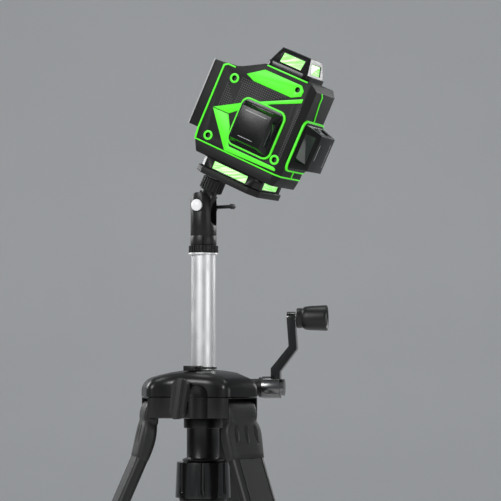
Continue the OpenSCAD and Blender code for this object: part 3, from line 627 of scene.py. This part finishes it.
def crownGap(x, y):
    # signed distance to the outline seen from above
    nearest = math.hypot(x, y) - crown["waist"]
    for lobe in crown["lobes"]:
        a = math.radians(lobe)
        px, py = x * math.cos(a) + y * math.sin(a), -x * math.sin(a) + y * math.cos(a)
        half, r = crown["lobeEnd"] / 2, crown["lobeRound"]
        dx, dy = abs(px - half) - (half - r), abs(py) - (crown["lobeHalf"] - r)
        box = math.hypot(max(dx, 0), max(dy, 0)) + min(max(dx, dy), 0) - r
        k = crown["melt"]
        h = max(k - abs(nearest - box), 0) / k
        nearest = min(nearest, box) - h * h * k / 4
    return nearest


def crownReach(angle, inset):
    # how far out the outline lies, found by halving the stretch it lies in
    low, high = 10.0, 90.0
    c, s = math.cos(angle), math.sin(angle)
    for _ in range(26):
        mid = (low + high) / 2
        if crownGap(mid * c, mid * s) < -inset:
            low = mid
        else:
            high = mid
    return low


def crownRing(inset, height, steps=288):
    ring = []
    for k in range(steps):
        a = 2 * math.pi * k / steps
        r = crownReach(a, inset)
        ring.append((r * math.cos(a), r * math.sin(a), height(r) if callable(height) else height))
    return ring


def dome(r):
    d = crown["domeRadius"]
    return crownTop - d + math.sqrt(d * d - r * r)


def valleyTool():
    # the upright flute beside the wing
    shape = bmesh.new()
    r, top = crown["valleyRadius"], splitHeight + 2
    profile = [(0.01, crownFoot - 3), (r, crownFoot - 3), (r, top)]
    for k in range(1, 8):
        a = math.pi / 2 * k / 8
        profile.append((r * math.cos(a), top + r * math.sin(a)))
    profile.append((0.01, top + r))
    lathe(shape, profile, 48, turned(z=crown["valleyTurn"]) @ moved(crown["waist"] + crown["valleyOut"], 0, 0))
    bmesh.ops.remove_doubles(shape, verts=shape.verts, dist=0.02)
    return shape


def crownShell(rows, boreTop, name):
    # closes the outline's rows down the column's bore
    steps = len(rows[0])
    turns = [2 * math.pi * k / steps for k in range(steps)]
    for height in (boreTop, rows[0][0][2]):
        rows.append([(crown["bore"] * math.cos(a), crown["bore"] * math.sin(a), height) for a in turns])
    shape = bmesh.new()
    rings = [[shape.verts.new(p) for p in row] for row in rows]
    for low, high in zip(rings, rings[1:] + rings[:1]):
        for i in range(steps):
            j = (i + 1) % steps
            shape.faces.new((low[i], low[j], high[j], high[i]))
    return meshFrom(shape, name)


def openCrown(mesh, cutter, low, high, name):
    # room for the rack and for the crank's bush, with the cutter's own shapes
    block(cutter, (-crown["rackHalf"], 0, low), (crown["rackHalf"], crown["rackOut"], high), turned(z=crankTurn))
    r, start, end = crown["bushBore"], crown["bushFrom"], crown["bushTo"]
    lathe(cutter, [(0.01, start), (r, start), (r, end), (0.01, end)], 48,
          turned(z=crankTurn) @ moved(0, shaftAside, shaftHeight) @ turned(y=90))
    bmesh.ops.remove_doubles(cutter, verts=cutter.verts, dist=0.02)
    return carve(mesh, meshFrom(cutter, name + "Tool"), name)


def makeCover():
    r = crown["edgeRound"]
    rows = [crownRing(0.5, splitHeight), crownRing(0.0, splitHeight + 0.5)]
    for k in range(9):
        a = math.pi / 2 * k / 8
        inset = r * (1 - math.cos(a))
        rows.append(crownRing(inset, lambda q, a=a: dome(q) - r * (1 - math.sin(a))))
    steps = len(rows[0])
    edge = rows[-1]
    for part in (0.25, 0.5, 0.75, 1.0):
        ring = []
        for k, (x, y, _) in enumerate(edge):
            a = 2 * math.pi * k / steps
            q = math.hypot(x, y) * (1 - part) + crown["boreRim"] * part
            ring.append((q * math.cos(a), q * math.sin(a), dome(q)))
        rows.append(ring)
    shell = crownShell(rows, dome(crown["boreTopAt"]) - crown["boreDrop"], "crownCover")
    mesh = openCrown(shell, valleyTool(), splitHeight - 1, crownTop + 2, "crownCover")
    settle("crown_shell", mesh, "crown", "cover_black", stands=("crown_cover",), seat=columnSeat, sharp=38)


def makeCrownBody():
    rows = [crownRing(2.5, crownFoot), crownRing(0.8, crownFoot + 0.7), crownRing(0.1, crownFoot + 2.4),
            crownRing(0.1, splitHeight - 0.9), crownRing(0.7, splitHeight - 0.35)]
    cutter = valleyTool()
    for lobe in crown["lobes"]:
        block(cutter, (crown["slotFrom"], -crown["slotHalf"], crownFoot - 1),
              (crown["slotTo"], crown["slotHalf"], crownFoot + crown["slotUp"]), turned(z=lobe))
    shell = crownShell(rows, splitHeight - 0.35, "crownBody")
    mesh = openCrown(shell, cutter, crownFoot - 1, splitHeight + 2, "crownBody")
    settle("crown_casting", mesh, "crown", "cast_black", stands=("crown_body",), seat=columnSeat, sharp=38)


crankTurn = math.degrees(math.atan2(crankAxis.y, crankAxis.x))
fromColumn = pointOf("crank_turn") - columnPoint
shaftAside = fromColumn.dot(up.cross(crankAxis)) / mm
shaftHeight = fromColumn.z / mm
makeCover()
makeCrownBody()
eased("column_clamp", 0.5, "knurl_black")
eased("wing_knob", 2.2, "bladeGrey", 4)
print("crown made")

eased("guide_tube", 0.6, "cover_black")
eased("guide_tip", 0.8, "knurl_black")
eased("guide_collar", 1.1, "gloss_black", 3)
print("guide and collar made")

eased("head_body", 0.5, "cast_black", 2)
eased("tilt_lever", 0.4, "knurl_black")
eased("tilt_arm", 0.5, "cast_black")
ring = {"bore": 8.1, "core": 13.7, "ease": 0.4, "ribs": 30, "ribAt": 14.0, "ribRadius": 0.75, "ribShort": 0.6}
sleeve = {"bore": 8.1, "core": 10.8, "from": 16.7, "to": 30.2, "easeIn": 0.6, "easeUp": 0.7,
          "ribs": 22, "ribAt": 11.05, "ribRadius": 0.8, "ribLength": 11.4, "ribMid": 23.4}
low, high = footOf("pan_ring"), topOf("pan_ring")
ribbed("pan_ring", "pan_ring", "pan_ring", "knurl_black", columnSeat, ring["ribs"], ring["ribAt"], ring["ribRadius"],
       high - low - ring["ribShort"], (low + high) / 2,
       [(ring["bore"], low), (ring["core"] - ring["ease"], low), (ring["core"], low + ring["ease"]),
        (ring["core"], high - ring["ease"]), (ring["core"] - ring["ease"], high), (ring["bore"], high)])
low, high = sleeve["from"], sleeve["to"]
ribbed("grip_sleeve", "grip_sleeve", "grip_sleeve", "knurl_black", tiltSeat, sleeve["ribs"], sleeve["ribAt"],
       sleeve["ribRadius"], sleeve["ribLength"], sleeve["ribMid"],
       [(sleeve["bore"], low), (sleeve["core"] - sleeve["easeIn"], low), (sleeve["core"], low + sleeve["easeUp"]),
        (sleeve["core"], high - sleeve["easeUp"]), (sleeve["core"] - sleeve["easeIn"], high), (sleeve["bore"], high)])
eased("head_flange", 0.3, "tube_silver")
print("tilt head made")

eased("crank_hub", 0.7, "hubMetal", 3)
eased("crank_arm", 1.6, "gloss_black", 3)

knob = {
    "root": 15,                       # from the spin joint back to the knob's own zero
    # radius and distance along the axle
    "profile": [(3.1, 0.5), (9.3, 0.5), (10, 1.2), (10, 5.2), (9.6, 5.7), (9.6, 6.3), (10.2, 6.8), (11.5, 9),
                (12.1, 13), (12.4, 20), (12.75, 28), (12.75, 30.2), (12.3, 31), (11.6, 31), (10.9, 30.2),
                (9.1, 29.8), (9.1, 27.4), (3.1, 27.4)],
}
knobSeat = seatAt(pointOf("crank_knob_spin") - knob["root"] * mm * crankAxis, up, crankAxis)
shape = bmesh.new()
lathe(shape, knob["profile"])
settle("crank_knob_turned", meshFrom(shape, "crankKnob"), "crank_knob", "knurl_black", stands=("crank_knob",),
       seat=knobSeat, sharp=40)
print("crank made")

casting = {
    # height, half width, inner face, outer face
    "rows": [(7.7, 16.8, -2.2, 2.2), (6.9, 17.6, -4, 4), (5, 17.9, -6.2, 6.2), (2, 18, -7.7, 7.7),
             (-2, 18, -8.2, 7.5), (-6, 18, -9.4, 6.8), (-10, 18, -10.8, 5.5), (-13, 18.3, -11.7, 4.6),
             (-15, 20, -12.3, 4.2), (-17.5, 21.6, -13.1, 3.7), (-21, 22.6, -14.1, 3.1), (-26, 22.9, -15.4, 2.2),
             (-32, 22.6, -16.4, 1.1), (-39, 22, -16.9, -0.3), (-45, 21.4, -17, -1.5),
             (-48.3, 21.0, -16.9, -2.1), (-49, 20.3, -16.2, -2.8)],
    "power": 3.6, "tonguePower": 6.6, "tongueAbove": -12,
    "grooveTop": -17.0, "grooveFoot": -38.5, "grooveGap": 11.4, "grooveFat": 2.9, "grooveAt": 4.5, "fan": 5.0,
    "slope": 10.5,
}


def superOval(half, low, high, power, steps=64):
    points = []
    for k in range(steps):
        a = 2 * math.pi * k / steps
        c, w = math.cos(a), math.sin(a)
        x = math.copysign(abs(c) ** (2 / power), c) * (high - low) / 2 + (low + high) / 2
        points.append((x, math.copysign(abs(w) ** (2 / power), w) * half))
    return points


def makeCasting():
    rows = []
    for height, half, low, high in casting["rows"]:
        power = casting["tonguePower" if height > casting["tongueAbove"] else "power"]
        rows.append([(x, y, height) for x, y in superOval(half, low, high, power)])
    shape = bmesh.new()
    loft(shape, rows)
    mesh = meshFrom(shape, "casting")
    # three drop-shaped grooves that spread towards the pivot
    cutter = bmesh.new()
    top, foot = casting["grooveTop"], casting["grooveFoot"]
    for side in (-1, 0, 1):
        profile = []
        for k in range(15):
            t = k / 14
            fat = casting["grooveFat"] * math.sin(math.pi * t ** 0.75) ** 0.6 if 0 < k < 14 else 0.01
            profile.append((fat, (foot - top) * t))
        place = moved(casting["grooveAt"], side * casting["grooveGap"], top)
        place = place @ turned(x=side * casting["fan"], y=casting["slope"])
        lathe(cutter, profile, 20, place)
    bmesh.ops.remove_doubles(cutter, verts=cutter.verts, dist=0.03)
    return carve(mesh, meshFrom(cutter, "castingTool"), "casting")


castingMesh = makeCasting()
for n in (1, 2, 3):
    settle(f"leg_{n}_cast", castingMesh.copy(), f"leg_{n}", "castGrey", stands=(f"leg_{n}_casting",),
           seat=legSeat(n), sharp=40)
for n in (1, 2, 3):
    eased(f"leg_{n}_lock_housing", 1.0, "knurl_black")
    eased(f"leg_{n}_lock_lever", 0.8, "knurl_black")
    eased(f"leg_{n}_foot", 0.8, "rubber")
print("legs made")

eased("laser_base", 0.8, "laser_black")
eased("bottom_head", 0.6, "head_gloss")
eased("laser_skirt", 1.0, "laser_black")
eased("laser_body", 1.2, "laser_black", 3)
eased("side_head", 2.0, "head_gloss", 4)
eased("front_head", 2.0, "head_gloss", 4)
eased("top_head", 1.3, "head_gloss", 3)
eased("battery_pack", 0.6, "laser_black")
eased("laser_trim", 0.2, "trim_green")

laser = {
    "face": 30.7, "front": 38.5, "rear": -61.5, "headAlong": -2.4, "headUp": 61.5,
    "sideOut": 15.0, "frontOut": 20.0, "lineHalf": 0.25,
    "flangeHalf": 20.5, "flangeOut": 3.2, "flangeLine": 0.3,    # the side head's flange and the painted highlight along its upper edge
    # height on a head's cover, then where the painted highlight line starts and ends
    "paintedHeadHighlights": [(-12.5, -9, 7), (13.2, -12, 12)],
    "plateOut": 12.9, "plateHalf": 26.0, "plateFoot": 38.5, "plateTop": 106.5, "plateLine": 0.45,
    "dotPitch": 2.1, "dotRadius": 0.55, "dotRise": 0.3, "dotWide": 100, "dotHigh": 240,
    # fields of dots on a broad face, along and up the body
    "fields": [
        [(-57, 66), (-38, 66.5), (-38, 78), (-57, 100)],
        [(-34, 72), (-27, 75.5), (-27, 82), (22, 106), (8, 101), (-18, 101), (-37, 101)],
        [(28, 38), (33, 38), (33, 96), (28, 94)],
    ],
}


def dotFace():
    base = flatMesh(laser["fields"], "dotOutline")
    pitch = laser["dotPitch"]
    columns = int(laser["dotWide"] / pitch)
    return dotField.make(base, "dotGrey", Width=columns * pitch, Height=float(laser["dotHigh"]), Columns=columns,
                         Rows=int(laser["dotHigh"] / pitch), DotRadius=laser["dotRadius"], DotRise=laser["dotRise"])


def strip(shape, start, end, half, seat):
    # a slim raised bar between two places
    start, end = Vector(start), Vector(end)
    along = end - start
    turn = along.to_track_quat("X", "Z").to_matrix().to_4x4()
    block(shape, (0, -half, -half), (along.length, half, half), seat @ Matrix.Translation(start) @ turn)


def paintedHeadHighlights():
    # pale strips on the covers of two heads, painted highlights along their edges
    shape = bmesh.new()
    sideSeat = moved(laser["headAlong"], -laser["face"], laser["headUp"]) @ turned(x=90)
    frontSeat = moved(laser["front"], 0, laser["headUp"]) @ turned(y=90)
    for seat, out in ((sideSeat, laser["sideOut"]), (frontSeat, laser["frontOut"])):
        for y, low, high in laser["paintedHeadHighlights"]:
            strip(shape, (low, y, out), (high, y, out), laser["lineHalf"], seat)
    edge, out = laser["flangeHalf"], laser["flangeOut"]
    strip(shape, (-edge, edge, out), (edge, edge, out), laser["flangeLine"], sideSeat)
    settle("head_painted_highlights", meshFrom(shape, "paintedHeadHighlights"), "laser", "paintedHighlight", seat=laserSeat)


def paintedBatteryHighlights():
    # pale strips round the plate's outer edge, painted highlights on its edges
    shape = bmesh.new()
    rear, side = laser["rear"] - laser["plateOut"], laser["plateHalf"]
    low, high, half = laser["plateFoot"], laser["plateTop"], laser["plateLine"]
    for y in (-side, side):
        strip(shape, (rear, y, low), (rear, y, high), half, Matrix.Identity(4))
    for z in (low, high):
        strip(shape, (rear, -side, z), (rear, side, z), half, Matrix.Identity(4))
    settle("battery_painted_highlights", meshFrom(shape, "paintedBatteryHighlights"), "battery", "paintedHighlight", seat=laserSeat)


paintedHeadHighlights()
paintedBatteryHighlights()
dots = dotFace()
print("dots on a broad face:", len(dots.polygons) // 8)
for name, side in (("near", -1), ("far", 1)):
    one = dots.copy()
    if side > 0:
        one.transform(Matrix.Scale(-1, 4, (0, 0, 1)))
        one.flip_normals()
    one.transform(moved(0, side * laser["face"], 0) @ turned(x=90))
    settle(f"dots_{name}", one, "laser", "dotGrey", seat=laserSeat)


def windowPart(name, look, keep):
    # the windows of some heads, copied from the frame's own solids
    shape = bmesh.new()
    shape.from_mesh(nodes["laser_windows"].data)
    bmesh.ops.remove_doubles(shape, verts=shape.verts, dist=2e-6)
    away = laserSeat.inverted()
    gone = [f for f in shape.faces if not keep(away @ f.calc_center_median())]
    bmesh.ops.delete(shape, geom=gone, context="FACES")
    settle(name, meshFrom(shape, name, False), "laser", look, stands=("laser_windows",))


# the heads on the body's faces sit between these heights
sideLow, sideHigh = 30, 115
windowPart("lit_windows", "glow", lambda p: p.z > sideHigh or p.z < sideLow)
windowPart("dark_windows", "darkGlass", lambda p: sideLow < p.z < sideHigh)
eased("power_button", 0.4, "button_green")
print("laser made")

slots = {s["node"]: s["material_slot"] for s in frame["record"]["subparts"]}
for name, item in nodes.items():
    item.data.materials.clear()
    item.data.materials.append(looks[slots[name]])
print("finishes on the frame's own pieces")
